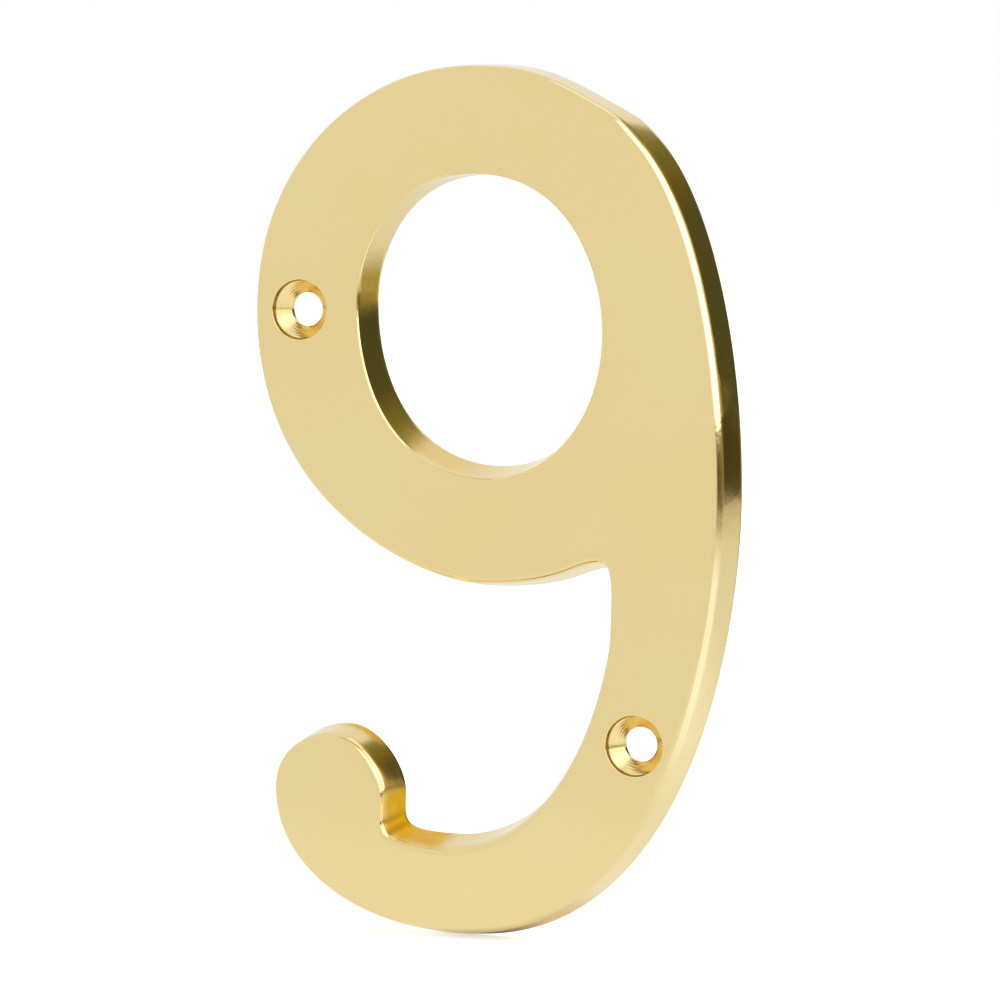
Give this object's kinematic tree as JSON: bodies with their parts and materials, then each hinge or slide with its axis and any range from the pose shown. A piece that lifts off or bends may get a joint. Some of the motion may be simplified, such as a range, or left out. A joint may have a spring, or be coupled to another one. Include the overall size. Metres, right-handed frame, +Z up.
{
  "type": "door number",
  "caption": "Flat numeral nine for a door, with an oval counter, a ball-ended tail, sloping sides and countersunk screw holes.",
  "frame": {"origin": "midway between the two screw holes, on the flat back", "axes": "+Z up as it hangs on the door, +X to the reader's right, the polished face looks along -Y and the flat back along +Y"},
  "size_m": [0.06, 0.005, 0.1016],
  "materials": {
    "brass": "polished"
  },
  "bodies": {
    "root": {"numeral_nine": "brass"}
  },
  "joints": []
}
